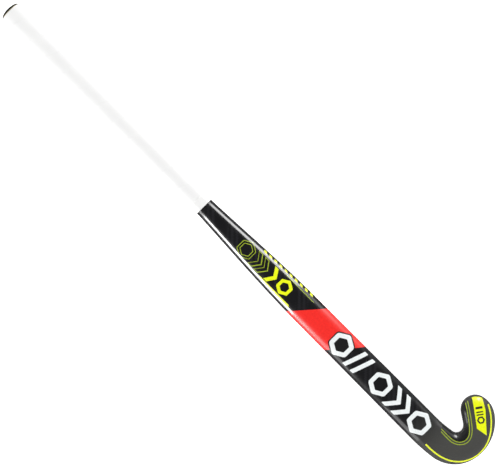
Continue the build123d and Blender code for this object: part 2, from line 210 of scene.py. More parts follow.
@dataclass
class StickForm:
    """Every size of the moulded stick, and the surface that follows from them."""

    length: float = 927.0
    neck_width: float = 47.0
    shaft_width: float = 44.6
    handle_width: float = 27.0
    head_depth: float = 20.5
    shaft_depth: float = 22.5
    handle_depth: float = 24.5
    crown: float = 12.0
    crown_reach_handle: float = 12.0
    crown_reach_blade: float = 15.5
    face_radius_handle: float = 10.0
    face_radius_blade: float = 4.0
    cap_rim: float = 5.0
    taper: tuple[float, float] = (375.0, 610.0)
    taper_power: float = 0.8
    bow_peak: float = 610.0
    bow_depth: float = 20.0
    butt_centre: float = 15.4
    grip_end: float = 396.5
    left_arcs: tuple = ((317.0, 7.4), (53.1, 69.6), (64.0, 67.3), (35.1, 48.2), (21.1, 134.4))
    right_arcs: tuple = ((17.0, 18.9), (9.6, 117.8), (176.0, 10.2))
    corner: Vector = field(default_factory=lambda: Vector((0, 0, 0)))

    def __post_init__(self) -> None:
        """Work out where the head begins, and its outline."""
        reach, turned = 0.0, 0.0
        for radius, sweep in self.left_arcs:
            swept = min(turned + math.radians(sweep), math.pi / 2)
            reach += radius * (math.sin(swept) - math.sin(turned))
            turned = swept
        self.head_start = self.length - reach
        self.neck = self.head_start - 4.0
        self.edge, self.inward = self.trace_outline()
        lead = np.array([[700.0, self.edge[0][1]]])
        tail = np.array([[700.0, self.edge[-1][1]]])
        self.fence = np.vstack([lead, self.edge, tail])

    def place(self, points: np.ndarray) -> np.ndarray:
        """Turn points of the stick's frame into the part's frame in metres."""
        shift = np.array([0.0, self.neck_width / 2, 0.0])
        return (points + shift) * MM + np.array(self.corner)

    def widening(self, along: np.ndarray | float) -> np.ndarray | float:
        """How far the round handle has turned into the flat blade."""
        start, end = self.taper
        return ease(np.maximum((along - start) / (end - start), 0) ** self.taper_power)

    def half_width(self, along: np.ndarray | float) -> np.ndarray | float:
        """Half the bare shaft's width."""
        lower = ease((along - self.taper[1]) / (self.neck - self.taper[1]))
        opened = (self.shaft_width - self.handle_width) * self.widening(along)
        return (self.handle_width + opened + (self.neck_width - self.shaft_width) * lower) / 2

    def depth(self, along: np.ndarray | float) -> np.ndarray | float:
        """The bare shaft's depth."""
        lower = ease((along - self.taper[1]) / (self.neck - self.taper[1]))
        thinned = (self.shaft_depth - self.handle_depth) * self.widening(along)
        return self.handle_depth + thinned + (self.head_depth - self.shaft_depth) * lower

    def centre(self, along: np.ndarray | float) -> np.ndarray | float:
        """Height of the shaft's middle, which makes the bow."""
        peak = self.bow_depth + self.depth(self.bow_peak) / 2
        above = np.clip((self.bow_peak - along) / self.bow_peak, 0, 1)
        t = np.clip((along - self.bow_peak) / (self.neck - self.bow_peak), 0, 1)
        fall = t**3 * (10 - 15 * t + 6 * t * t)
        return peak - (peak - self.butt_centre) * above**2 + (self.head_depth / 2 - peak) * fall

    def reach(self, along: np.ndarray | float) -> np.ndarray | float:
        """How far in from the outline the back's rounding goes."""
        spread = self.crown_reach_blade - self.crown_reach_handle
        return self.crown_reach_handle + spread * self.widening(along)

    def back(self, along: np.ndarray | float) -> np.ndarray | float:
        """Height of the middle of the back."""
        return self.centre(along) + self.depth(along) / 2

    def profile(self, along: float, wall: float = 0.0, steps: int = 12) -> Profile:
        """Make the section's edge there.

        Args:
            along: The station.
            wall: Distance in from the outside, for an inner surface.
            steps: Points round the back's rounding.

        Returns:
            The edge, from the back to the face.
        """
        wide = float(self.reach(along)) - wall
        high = self.crown - wall
        mix = float(self.widening(along))
        radius = self.face_radius_handle + (
            self.face_radius_blade - self.face_radius_handle
        ) * mix - wall
        top = float(self.back(along)) - wall
        foot = float(self.centre(along) - self.depth(along) / 2) + wall
        turn = np.linspace(0, math.pi / 2, steps + 1)
        low = np.linspace(math.pi / 2, 0, steps // 2 + 2)
        side = np.linspace(top - high, foot + radius, 4)[1:-1]
        out, lift = np.sin(turn) / wide, np.cos(turn) / high
        size = np.hypot(out, lift)
        return Profile(
            np.concatenate([wide * (1 - np.sin(turn)), side * 0, radius * (1 - np.sin(low))])
            + wall,
            np.concatenate(
                [top - high * (1 - np.cos(turn)), side, foot + radius * (1 - np.cos(low))]
            ),
            np.concatenate([out / size, side * 0 + 1, np.sin(low)]),
            np.concatenate([lift / size, side * 0, -np.cos(low)]),
        )

    def trace_outline(self) -> tuple[np.ndarray, np.ndarray]:
        """Follow the head's outline from the heel side of the neck round to the toe side.

        Returns:
            Points on the outline, and the inward direction at each.
        """
        half = self.neck_width / 2
        spots, headings = [(self.neck, -half), (self.head_start, -half)], [0.0, 0.0]
        spot, heading = np.array([self.head_start, -half]), 0.0
        spot, heading = self.follow(spots, headings, spot, heading, self.left_arcs, 1)
        rise = half - spot[1]
        probe, _ = self.follow([], [], np.zeros(2), heading, self.right_arcs, -1)
        run = (rise - probe[1]) / math.sin(heading)
        direction = np.array([math.cos(heading), math.sin(heading)])
        for share in np.linspace(0, 1, 8)[1:]:
            spots.append(tuple(spot + direction * run * share))
            headings.append(heading)
        spot = spot + direction * run
        self.follow(spots, headings, spot, heading, self.right_arcs, -1)
        for share in (0.5, 1.0):
            spots.append((spots[-1][0] + (self.neck - spots[-1][0]) * share, half))
            headings.append(math.pi)
        angles = np.array(headings)
        return np.array(spots), np.stack([-np.sin(angles), np.cos(angles)], 1)

    @staticmethod
    def follow(
        spots: list,
        headings: list,
        spot: np.ndarray,
        heading: float,
        arcs: tuple,
        side: int,
    ) -> tuple[np.ndarray, float]:
        """Walk along arcs that turn to one side and note points about a millimetre apart.

        Args:
            spots: Points found so far, added to.
            headings: Direction at each point, added to.
            spot: Where the walk starts.
            heading: Which way it starts.
            arcs: Radius and sweep in degrees of each arc.
            side: 1 to turn left and -1 to turn right.

        Returns:
            Where the walk ends and its heading there.
        """
        for radius, sweep in arcs:
            left = np.array([-math.sin(heading), math.cos(heading)])
            centre = spot + side * radius * left
            count = max(6, round(math.radians(sweep) * radius / 1.2))
            for number in range(1, count + 1):
                angle = heading + side * math.radians(sweep) * number / count
                out = np.array([-math.sin(angle), math.cos(angle)])
                spots.append(tuple(centre - side * radius * out))
                headings.append(angle)
            heading += side * math.radians(sweep)
            out = np.array([-math.sin(heading), math.cos(heading)])
            spot = centre - side * radius * out
        return spot, heading

    def edge_distance(self, points: np.ndarray) -> np.ndarray:
        """How far in from the outline each point lies, seen from above."""
        shaft = self.half_width(points[:, 0]) - np.abs(points[:, 1])
        start, step = self.fence[:-1], np.diff(self.fence, axis=0)
        gap = points[:, None, :] - start[None]
        share = np.clip((gap * step).sum(2) / (step * step).sum(1), 0, 1)
        off = gap - share[..., None] * step
        head = np.sqrt((off * off).sum(2).min(1))
        return np.where(points[:, 0] < self.neck, shaft, head)

    def back_height(self, points: np.ndarray) -> np.ndarray:
        """Height of the back's surface over each point."""
        along = points[:, 0]
        reach = self.reach(along)
        rim = np.clip(1 - self.edge_distance(points) / reach, 0, 0.9995)
        return self.back(along) - self.crown * (1 - np.sqrt(1 - rim * rim))

    def on_back(self, points: np.ndarray, lift: float) -> tuple[np.ndarray, np.ndarray]:
        """Lay flat points on the back.

        Args:
            points: Along and across of each point.
            lift: Distance off the surface.

        Returns:
            Points in the stick's frame, and the surface's normal at each.
        """
        step = 0.05
        base = self.back_height(points)
        run = self.back_height(points + (step, 0)) - self.back_height(points - (step, 0))
        rise = self.back_height(points + (0, step)) - self.back_height(points - (0, step))
        normal = np.stack([-run / (2 * step), -rise / (2 * step), np.ones(len(points))], 1)
        normal /= np.linalg.norm(normal, axis=1, keepdims=True)
        return np.column_stack([points, base]) + normal * lift, normal

    def ring(
        self, along: float, wall: float = 0.0, flat: int = 8
    ) -> tuple[np.ndarray, np.ndarray]:
        """Make one closed section of the shaft.

        Args:
            along: The station.
            wall: Distance in from the outside.
            flat: Steps across each flat.

        Returns:
            Across and up of each point, and the section's normal at each.
        """
        edge = self.profile(along, wall)
        half = float(self.half_width(along))
        share = np.linspace(0, 1, flat + 1)[1:-1]
        near, far = half - edge.inset[-1], half - edge.inset[0]
        across = np.concatenate([
            -(half - edge.inset),
            -near + 2 * near * share,
            (half - edge.inset)[::-1],
            far - 2 * far * share,
        ])
        none = share * 0
        up = np.concatenate([edge.up, none + edge.up[-1], edge.up[::-1], none + edge.up[0]])
        out = np.concatenate([-edge.out, share * 0, edge.out[::-1], share * 0])
        lift = np.concatenate([edge.lift, share * 0 - 1, edge.lift[::-1], share * 0 + 1])
        return np.stack([across, up], 1), np.stack([out, lift], 1)

    def sleeve(
        self, along: np.ndarray, wall: float = 0.0
    ) -> tuple[np.ndarray, np.ndarray]:
        """Make sections at many stations, with true normals.

        Args:
            along: The stations.
            wall: Distance in from the outside.

        Returns:
            Points and normals, each stations by points by three.
        """
        points, normals = [], []
        for station in along:
            flat, normal = self.ring(station, wall)
            slope = (self.ring(station + 0.5, wall)[0] - self.ring(station - 0.5, wall)[0])
            lean = -(normal * slope).sum(1)
            full = np.column_stack([lean, normal])
            points.append(np.column_stack([np.full(len(flat), station), flat]))
            normals.append(full / np.linalg.norm(full, axis=1, keepdims=True))
        return np.array(points), np.array(normals)


@dataclass
class Surface:
    """A mesh being put together in the stick's frame."""

    points: list = field(default_factory=list)
    normals: list = field(default_factory=list)
    faces: list = field(default_factory=list)

    def add_points(self, points: np.ndarray, normals: np.ndarray) -> np.ndarray:
        """Add points and give back their numbers, in the same layout."""
        start = sum(len(p) for p in self.points)
        self.points.append(points.reshape(-1, 3))
        self.normals.append(normals.reshape(-1, 3))
        return start + np.arange(points.size // 3).reshape(points.shape[:-1])

    def add_grid(self, numbers: np.ndarray, closed: bool) -> None:
        """Add faces between neighbouring rows of point numbers."""
        beside = np.roll(numbers, -1, 1) if closed else numbers[:, 1:]
        here = numbers if closed else numbers[:, :-1]
        quads = np.stack([here[:-1], here[1:], beside[1:], beside[:-1]], -1)
        self.faces += [tuple(q) for q in quads.reshape(-1, 4).tolist()]

    def finish(self, name: str, form: StickForm, solid: bool = True) -> bpy.types.Object:
        """Make the object, in the part's frame and with its normals as worked out.

        Args:
            name: The piece's name.
            form: What places its points.
            solid: Whether it encloses a space, so that its faces can be turned outwards.

        Returns:
            The new object.
        """
        points, normals = np.vstack(self.points), np.vstack(self.normals)
        mesh = bpy.data.meshes.new(name)
        mesh.from_pydata(form.place(points).tolist(), [], self.faces)
        if solid:
            turn_outwards(mesh)
        mesh.update()
        mesh.shade_smooth()
        mesh.normals_split_custom_set_from_vertices(normals.tolist())
        return add_object(name, mesh)


def settle(piece: bpy.types.Object, material: bpy.types.Material, slot: str, *nodes: str) -> None:
    """Give a finished piece its material and its place in the part, and report it.

    Args:
        piece: The object.
        material: Its finish.
        slot: The record's material slot; not used.
        nodes: The CAD nodes that it stands for.
    """
    piece.data.materials.clear()
    piece.data.materials.append(material)
    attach(piece, "root")
    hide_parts(*nodes)
    LOG.info("%s: %d faces, for %s", piece.name, len(piece.data.polygons), ", ".join(nodes))


# --- Finishes --------------------------------------------------------------------------------


def new_shader(name: str, **sockets: object) -> tuple[bpy.types.NodeTree, bpy.types.Node]:
    """Start a material with one principled shader.

    Args:
        name: The material's name.
        sockets: Constants for the shader, with spaces in their names as underscores.

    Returns:
        The tree and its shader node.
    """
    material = bpy.data.materials.new(name)
    material.use_nodes = True
    tree = material.node_tree
    tree.nodes.clear()
    values = {key.replace("_", " "): value for key, value in sockets.items()}
    shader = add_node(tree, "ShaderNodeBsdfPrincipled", values=values)
    add_node(tree, "ShaderNodeOutputMaterial", links={"Surface": shader.outputs["BSDF"]})
    return tree, shader


def finished(tree: bpy.types.NodeTree) -> bpy.types.Material:
    """Give the material that a tree belongs to."""
    return next(m for m in bpy.data.materials if m.node_tree == tree)


@dataclass(frozen=True)
class LacqueredCarbon:
    """Carbon cloth moulded in epoxy under a glossy clear coat.

    The cloth's 2 by 2 twill shows only as a faint change of tone, in slanting patches
    down the shaft. From the neck on, the head is coloured grey: a painted sheen for the soft
    reflection of light over it.
    """

    black: str = "#101013"
    tow: str = "#1E1E22"
    # two greys of painted sheen for the head, standing for the soft reflection of light over it
    head_sheen_greys: tuple[str, str] = ("#424240", "#4E4E4B")
    tow_width: float = 2.4
    patch_pitch: float = 46.0

    def make(self, form: StickForm) -> bpy.types.Material:
        """Build the material."""
        tree, shader = new_shader(
            "lacquered_carbon", Roughness=0.3, IOR=1.5, Coat_Weight=1.0, Coat_Roughness=0.05
        )
        place = add_node(tree, "ShaderNodeTexCoord")
        axes = add_node(tree, "ShaderNodeSeparateXYZ", links={0: place.outputs["Object"]})
        tows = []
        for axis in ("X", "Y"):
            count = add_node(
                tree, "ShaderNodeMath", {"operation": "MULTIPLY"},
                {1: 1 / (self.tow_width * MM)}, {0: axes.outputs[axis]},
            )
            floor = add_node(
                tree, "ShaderNodeMath", {"operation": "FLOOR"}, links={0: count}
            )
            tows.append(floor)
        both = add_node(
            tree, "ShaderNodeMath", {"operation": "ADD"},
            links={0: tows[0], 1: tows[1]},
        )
        wrapped = add_node(
            tree, "ShaderNodeMath", {"operation": "WRAP"}, {1: 4.0, 2: 0.0}, {0: both}
        )
        over = add_node(
            tree, "ShaderNodeMath", {"operation": "LESS_THAN"}, {1: 1.5}, {0: wrapped}
        )
        slant = add_node(
            tree, "ShaderNodeMath", {"operation": "MULTIPLY_ADD"}, {1: 0.75},
            {0: axes.outputs["Y"], 2: axes.outputs["X"]},
        )
        wave = add_node(
            tree, "ShaderNodeMath", {"operation": "MULTIPLY"},
            {1: 2 * math.pi / (self.patch_pitch * MM)}, {0: slant},
        )
        patch = add_node(tree, "ShaderNodeMath", {"operation": "SINE"}, links={0: wave})
        shown = add_node(
            tree, "ShaderNodeMapRange", {"interpolation_type": "SMOOTHSTEP"},
            {"From Min": -0.1, "From Max": 0.25}, {"Value": patch},
        )
        faint = add_node(
            tree, "ShaderNodeMath", {"operation": "MULTIPLY"},
            links={0: over, 1: shown},
        )
        cloth = add_node(
            tree, "ShaderNodeMix", {"data_type": "RGBA"},
            {6: linear(self.black), 7: linear(self.tow)}, {0: faint},
        )
        # painted sheen: from the neck on, the head is coloured grey in place of a reflection of
        # soft light
        neck = form.place(np.array([[form.neck, 0, 0]]))[0][0]
        head_sheen_zone = add_node(
            tree, "ShaderNodeMapRange", {"interpolation_type": "SMOOTHSTEP"},
            {"From Min": float(neck) - 0.03, "From Max": float(neck) + 0.05},
            {"Value": axes.outputs["X"]},
        )
        fleck = add_node(
            tree, "ShaderNodeTexNoise", values={"Scale": 900.0, "Detail": 2.0},
            links={"Vector": place.outputs["Object"]},
        )
        head_sheen_colour = add_node(
            tree, "ShaderNodeMix", {"data_type": "RGBA"},
            {6: linear(self.head_sheen_greys[0]), 7: linear(self.head_sheen_greys[1])}, {0: fleck},
        )
        colour = add_node(
            tree, "ShaderNodeMix", {"data_type": "RGBA"},
            links={0: head_sheen_zone, 6: cloth.outputs[2], 7: head_sheen_colour.outputs[2]},
        )
        tree.links.new(colour.outputs[2], shader.inputs["Base Color"])
        haze = add_node(
            tree, "ShaderNodeTexNoise", values={"Scale": 60.0, "Detail": 4.0},
            links={"Vector": place.outputs["Object"]},
        )
        rough = add_node(
            tree, "ShaderNodeMapRange", values={"To Min": 0.24, "To Max": 0.36},
            links={"Value": haze},
        )
        tree.links.new(rough.outputs[0], shader.inputs["Roughness"])
        return finished(tree)


@dataclass(frozen=True)
class TransferFilm:
    """Screen-printed film under the same clear coat, so it is as glossy as the shaft.

    The ink is even, with only the slightest mottle where the film lies over the cloth.
    """

    name: str
    ink: str
    thin: str

    def make(self) -> bpy.types.Material:
        """Build the material."""
        tree, shader = new_shader(
            self.name, Roughness=0.35, IOR=1.5, Coat_Weight=1.0, Coat_Roughness=0.05
        )
        place = add_node(tree, "ShaderNodeTexCoord")
        mottle = add_node(
            tree, "ShaderNodeTexNoise", values={"Scale": 350.0, "Detail": 3.0},
            links={"Vector": place.outputs["Object"]},
        )
        spread = add_node(
            tree, "ShaderNodeMapRange", values={"From Min": 0.35, "From Max": 0.7},
            links={"Value": mottle},
        )
        colour = add_node(
            tree, "ShaderNodeMix", {"data_type": "RGBA"},
            {6: linear(self.ink), 7: linear(self.thin)}, {0: spread},
        )
        tree.links.new(colour.outputs[2], shader.inputs["Base Color"])
        return finished(tree)


@dataclass(frozen=True)
class GrainedSkin:
    """A soft or moulded skin: polyurethane tape, vinyl or rubber with a fine grain.

    The grain breaks up the reflection, so the surface reads as soft beside the lacquer.
    """

    name: str
    light: str
    dark: str
    grain: float
    rough: tuple[float, float]
    height: float
    coat: float = 0.0

    def make(self) -> bpy.types.Material:
        """Build the material."""
        tree, shader = new_shader(
            self.name, IOR=1.5, Coat_Weight=self.coat, Coat_Roughness=0.25
        )
        place = add_node(tree, "ShaderNodeTexCoord")
        grain = add_node(
            tree, "ShaderNodeTexVoronoi", values={"Scale": 1 / (self.grain * MM)},
            links={"Vector": place.outputs["Object"]},
        )
        cloud = add_node(
            tree, "ShaderNodeTexNoise", values={"Scale": 45.0, "Detail": 5.0},
            links={"Vector": place.outputs["Object"]},
        )
        colour = add_node(
            tree, "ShaderNodeMix", {"data_type": "RGBA"},
            {6: linear(self.light), 7: linear(self.dark)}, {0: cloud},
        )
        tree.links.new(colour.outputs[2], shader.inputs["Base Color"])
        rough = add_node(
            tree, "ShaderNodeMapRange", values={"To Min": self.rough[0], "To Max": self.rough[1]},
            links={"Value": cloud},
        )
        tree.links.new(rough.outputs[0], shader.inputs["Roughness"])
        bump = add_node(
            tree, "ShaderNodeBump", values={"Strength": 0.5, "Distance": self.height * MM},
            links={"Height": grain.outputs["Distance"]},
        )
        tree.links.new(bump.outputs[0], shader.inputs["Normal"])
        return finished(tree)


@dataclass(frozen=True)
class CoreStuff:
    """What the inside is made of: foam, prepreg, aramid cloth or turned steel."""

    name: str
    light: str
    dark: str
    cell: float
    rough: float
    metal: float = 0.0

    def make(self) -> bpy.types.Material:
        """Build the material."""
        tree, shader = new_shader(self.name, Roughness=self.rough, Metallic=self.metal)
        place = add_node(tree, "ShaderNodeTexCoord")
        cells = add_node(
            tree, "ShaderNodeTexVoronoi", values={"Scale": 1 / (self.cell * MM)},
            links={"Vector": place.outputs["Object"]},
        )
        colour = add_node(
            tree, "ShaderNodeMix", {"data_type": "RGBA"},
            {6: linear(self.dark), 7: linear(self.light)}, {0: cells.outputs["Distance"]},
        )
        tree.links.new(colour.outputs[2], shader.inputs["Base Color"])
        bump = add_node(
            tree, "ShaderNodeBump", values={"Strength": 0.4, "Distance": self.cell * MM * 0.2},
            links={"Height": cells.outputs["Distance"]},
        )
        tree.links.new(bump.outputs[0], shader.inputs["Normal"])
        return finished(tree)


# --- The moulded shell ------------------------------------------------------------------------


@dataclass
class MouldedShell:
    """The outer laminate: one hollow moulding from the butt to the toe."""

    form: StickForm
    wall: float = 2.0
    step: float = 3.0

    def build(self) -> bpy.types.Object:
        """Make its outside and inside as one closed mesh."""
        surface = Surface()
        outer = self.skin(surface, 0.0, 1)
        inner = self.skin(surface, self.wall, -1)
        surface.add_grid(np.stack([outer, inner]), True)
        self.piece = surface.finish("stick_shell", self.form)
        return self.piece

    def skin(self, surface: Surface, wall: float, way: int) -> np.ndarray:
        """Add the outside or the inside.

        Args:
            surface: What it is added to.
            wall: Distance in from the outside.
            way: 1 for normals that point out, -1 for in.

        Returns:
            The point numbers of the ring at the butt.
        """
        form = self.form
        count = round((form.neck - form.cap_rim) / (self.step * (1 if way > 0 else 3)))
        along = np.linspace(form.cap_rim, form.neck, count)
        points, normals = form.sleeve(along, wall)
        rings = surface.add_points(points, normals * way)
        surface.add_grid(rings, True)
        edge = form.profile(form.neck, wall)
        size = len(edge.inset)
        spots = form.edge[:, None, :] + edge.inset[None, :, None] * form.inward[:, None, :]
        tall = np.broadcast_to(edge.up[None, :, None], spots.shape[:2] + (1,))
        out = -edge.out[None, :, None] * form.inward[:, None, :]
        lift = np.broadcast_to(edge.lift[None, :, None], out.shape[:2] + (1,))
        inside = surface.add_points(
            np.concatenate([spots, tall], 2)[1:-1], np.concatenate([out, lift], 2)[1:-1] * way
        )
        last = rings[-1]
        flat = (len(last) - 2 * size) // 2
        heel, toe = last[:size], last[size + flat : 2 * size + flat][::-1]
        loops = np.vstack([heel[None], inside, toe[None]])
        surface.add_grid(loops, False)
        surface.faces.append((*loops[:, 0].tolist(), *last[2 * size + flat :].tolist()))
        surface.faces.append((*loops[:, -1].tolist(), *last[size : size + flat][::-1].tolist()))
        return rings[0]

    def dress(self) -> None:
        """Give it its lacquer."""
        settle(
            self.piece, LacqueredCarbon().make(self.form), "lacquered_carbon", "outer_laminate"
        )


# --- Printed graphics, and the painted shade in the crook --------------------------------------


class Corner(Enum):
    """How a printed shape's corners are cut."""

    SHARP = 0.0
    SOFT = 1.2
    ROUND = 3.0


@dataclass
class Shape:
    """A flat printed shape: an outline, and a hole in it where it has one."""

    outline: Points
    hole: Points = field(default_factory=list)


def softened(points: Points, corner: Corner) -> Points:
    """Round a polygon's corners.

    Args:
        points: Its corners in order.
        corner: How much to round them.

    Returns:
        The rounded outline.
    """
    if corner is Corner.SHARP:
        return points
    spots, result = np.array(points), []
    for number, spot in enumerate(spots):
        before, after = spots[number - 1], spots[(number + 1) % len(spots)]
        reach = min(
            corner.value,
            np.linalg.norm(before - spot) * 0.45,
            np.linalg.norm(after - spot) * 0.45,
        )
        start = spot + (before - spot) / np.linalg.norm(before - spot) * reach
        end = spot + (after - spot) / np.linalg.norm(after - spot) * reach
        for share in np.linspace(0, 1, 7):
            mid = (1 - share) ** 2 * start + 2 * share * (1 - share) * spot + share**2 * end
            result.append(tuple(mid))
    return result


def slash(along: float, across: float, wide: float, high: float, lean: float) -> Points:
    """Give the corners of a leaning bar centred there."""
    left, right = along - wide / 2, along + wide / 2
    foot, top = across - high / 2, across + high / 2
    return [
        (left - lean / 2, foot), (right - lean / 2, foot),
        (right + lean / 2, top), (left + lean / 2, top),
    ]


def chevron(along: float, across: float, stroke: float, high: float, reach: float) -> Points:
    """Give the corners of an arrowhead that points along the shaft."""
    left, right, half = along - (reach + stroke) / 2, along + (reach + stroke) / 2, high / 2
    return [
        (left, across - half), (left + stroke, across - half), (right, across),
        (left + stroke, across + half), (left, across + half), (right - stroke, across),
    ]


def hexagon(along: float, across: float, radius: float, turn: float = 30.0) -> Points:
    """Give the corners of a hexagon."""
    angles = [math.radians(turn + 60 * n) for n in range(6)]
    return [(along + radius * math.cos(a), across + radius * math.sin(a)) for a in angles]


def ribbon(path: Points, wide: float) -> Points:
    """Give the outline of a line of even width that runs smoothly through points.

    Args:
        path: Points that it passes through.
        wide: Its width.

    Returns:
        The closed outline.
    """
    knots = np.array(path)
    knots = np.vstack([2 * knots[0] - knots[1], knots, 2 * knots[-1] - knots[-2]])
    line = []
    for a, b, c, d in zip(knots, knots[1:], knots[2:], knots[3:]):
        times = np.cumsum([0, *(np.linalg.norm(q - p) ** 0.5 for p, q in ((a, b), (b, c), (c, d)))])
        for t in np.linspace(times[1], times[2], max(4, int(np.linalg.norm(c - b))))[:-1]:
            first = [
                (times[n + 1] - t) / (times[n + 1] - times[n]) * p
                + (t - times[n]) / (times[n + 1] - times[n]) * q
                for n, (p, q) in enumerate(((a, b), (b, c), (c, d)))
            ]
            second = [
                (times[n + 2] - t) / (times[n + 2] - times[n]) * first[n]
                + (t - times[n]) / (times[n + 2] - times[n]) * first[n + 1]
                for n in range(2)
            ]
            line.append(
                (times[2] - t) / (times[2] - times[1]) * second[0]
                + (t - times[1]) / (times[2] - times[1]) * second[1]
            )
    line.append(knots[-2])
    spots = np.array(line)
    ahead = np.gradient(spots, axis=0)
    ahead /= np.linalg.norm(ahead, axis=1, keepdims=True)
    side = np.column_stack([-ahead[:, 1], ahead[:, 0]]) * wide / 2
    return [tuple(p) for p in np.vstack([spots + side, (spots - side)[::-1]])]


@dataclass
class PrintedFilms:
    """The graphics: generic stripes, bars, chevrons and honeycomb rings, no lettering, and a black
    film of painted shade in the crook.
    """

    form: StickForm
    cell: float = 1.6
    lift: float = 0.08
    middle: float = 0.2
    band_middle: float = 641.6
    band_length: float = 77.6
    band_lean: float = 0.87
    row_stroke: float = 6.6
    row_height: float = 34.0
    row_ring: float = 18.6
    rings_at: tuple = (673.0, 753.0, 831.5)
    bars_at: tuple = (701.0, 716.0)
    arrows_at: tuple = (783.0, 801.0)
    lime_middle: float = 0.4
    lime_ring_at: float = 558.0
    outline_middle: float = -0.3
    outline_ring_at: float = 482.5
    outline_arrows_at: tuple = (504.5, 517.0)
    panel_inset: float = 2.0
    panel_rim: tuple = ((870.6, 89.2), (858.0, 80.3))
    panel_corners: tuple = ((895.4, 53.2), (912.1, 56.2), (884.7, 80.9))
    panel_bars: tuple = ((876.2, 76.2, 3.2), (881.2, 72.5, 1.9), (884.4, 70.3, 1.9))
    panel_ring: tuple = (890.8, 65.8)
    panel_turn: float = -35.0
    crook_inset: float = 0.3
    crook_rim: tuple = ((855.8, 68.0), (857.5, 23.8))
    edge_path: tuple = (
        (859.9, -14.4), (872.7, -14.1), (888.9, -11.3), (904, -4.4), (916.3, 7.8), (923.3, 24.8),
        (923.2, 41.9), (917.3, 57.2), (905.9, 71.8), (894, 82.2), (882.6, 89.3),
    )
    outer_pin: tuple = (
        (862.3, 13.9), (874.1, 13.5), (885.4, 14.5), (894.3, 19.6), (899.5, 28.1), (898.7, 37.5),
        (892.5, 46.4), (880.6, 56.3), (868.6, 64.7), (858.6, 71.6),
    )
    inner_pin: tuple = (
        (860.1, 16.9), (872.8, 16.8), (884.2, 17.9), (892, 22.2), (895.8, 29.7), (894.6, 37.6),
        (888.9, 45), (878.3, 53.8), (867.6, 61.5), (858.6, 67.7),
    )

    def lay(self, name: str, shapes: list[Shape], lift: float | None = None) -> bpy.types.Object:
        """Lay flat shapes on the back of the stick.

        Args:
            name: The piece's name.
            shapes: The shapes.
            lift: Distance off the lacquer, if not the usual.

        Returns:
            The new object.
        """
        work = bmesh.new()
        for shape in shapes:
            edges = []
            for loop in (shape.outline, shape.hole):
                corners = [work.verts.new((x, y, 0)) for x, y in loop]
                pairs = zip(corners, corners[1:] + corners[:1])
                edges += [work.edges.new(pair) for pair in pairs]
            bmesh.ops.triangle_fill(work, edges=edges, use_beauty=True, normal=(0, 0, 1))
        spots = np.array([v.co[:2] for v in work.verts])
        for axis in (0, 1):
            normal = Vector((1, 0, 0)) if axis == 0 else Vector((0, 1, 0))
            low, high = spots[:, axis].min() + self.cell / 2, spots[:, axis].max()
            for at in np.arange(low, high, self.cell):
                bmesh.ops.bisect_plane(
                    work, geom=[*work.verts, *work.edges, *work.faces],
                    plane_co=normal * at, plane_no=normal, dist=1e-5,
                )
        work.verts.index_update()
        flat = np.array([v.co[:2] for v in work.verts], float)
        faces = [tuple(v.index for v in face.verts) for face in work.faces]
        work.free()
        faces = [f if self.area(flat[list(f)]) > 0 else f[::-1] for f in faces]
        points, normals = self.form.on_back(flat, self.lift if lift is None else lift)
        surface = Surface([points], [normals], faces)
        return surface.finish(name, self.form, solid=False)

    @staticmethod
    def area(corners: np.ndarray) -> float:
        """Give a flat polygon's area, negative if it runs clockwise."""
        after = np.roll(corners, -1, 0)
        return float((corners[:, 0] * after[:, 1] - corners[:, 1] * after[:, 0]).sum() / 2)

    def band(self) -> bpy.types.Object:
        """Make the red band, which wraps right round the shaft with leaning ends."""
        form, surface = self.form, Surface()
        columns = 48
        rows, normals = [], []
        for share in np.linspace(-0.5, 0.5, columns):
            base = self.band_middle + share * self.band_length
            across = form.ring(base)[0][:, 0]
            along = base + across * self.band_lean
            points = np.empty((len(across), 3))
            facing = np.empty((len(across), 3))
            for number, station in enumerate(along):
                flat, normal = form.ring(station)
                slope = form.ring(station + 0.5)[0][number] - form.ring(station - 0.5)[0][number]
                points[number] = (station, *flat[number])
                facing[number] = (-(normal[number] * slope).sum(), *normal[number])
            facing /= np.linalg.norm(facing, axis=1, keepdims=True)
            rows.append(points + facing * self.lift)
            normals.append(facing)
        numbers = surface.add_points(np.array(rows), np.array(normals))
        surface.add_grid(numbers[:, ::-1], True)
        return surface.finish("red_band_film", form, solid=False)

    def white_shapes(self) -> list[Shape]:
        """The bold white row on the blade."""
        y, stroke, tall = self.middle, self.row_stroke, self.row_height
        shapes = [
            Shape(softened(hexagon(x, y, self.row_ring), Corner.ROUND),
                  softened(hexagon(x, y, self.row_ring - stroke * 1.12), Corner.SOFT))
            for x in self.rings_at
        ]
        for x in self.bars_at:
            shapes.append(Shape(softened(slash(x, y, stroke, tall, 12), Corner.SOFT)))
        for x in self.arrows_at:
            shapes.append(Shape(softened(chevron(x, y, stroke + 1.6, tall, 14), Corner.SOFT)))
        return shapes

    def lime_shapes(self) -> list[Shape]:
        """The solid lime chevron, ring and underline above the band."""
        x, y = self.lime_ring_at, self.lime_middle
        return [
            Shape(softened(chevron(535, y, 6.4, 24.4, 8), Corner.SHARP)),
            Shape(softened(hexagon(x, y, 12.4), Corner.SOFT),
                  softened(hexagon(x, y, 7.2), Corner.SOFT)),
            Shape(slash(551.9, -14.2, 59, 2.4, -2.4)),
        ]

    def outline_shapes(self) -> list[Shape]:
        """The double-lined ring and chevron near the grip."""
        line, x, y = 1.0, self.outline_ring_at, self.outline_middle
        shapes = [
            Shape(softened(hexagon(x, y, radius), Corner.SOFT),
                  softened(hexagon(x, y, radius - line * 1.15), Corner.SOFT))
            for radius in (14.4, 10.2)
        ]
        for middle in self.outline_arrows_at:
            shapes.append(
                Shape(chevron(middle, y, 8.0, 24.6, 9.0),
                      chevron(middle, y, 8.0 - 2.6 * line, 24.6 - 2 * line, 9.0 - 0.6 * line))
            )
        return shapes

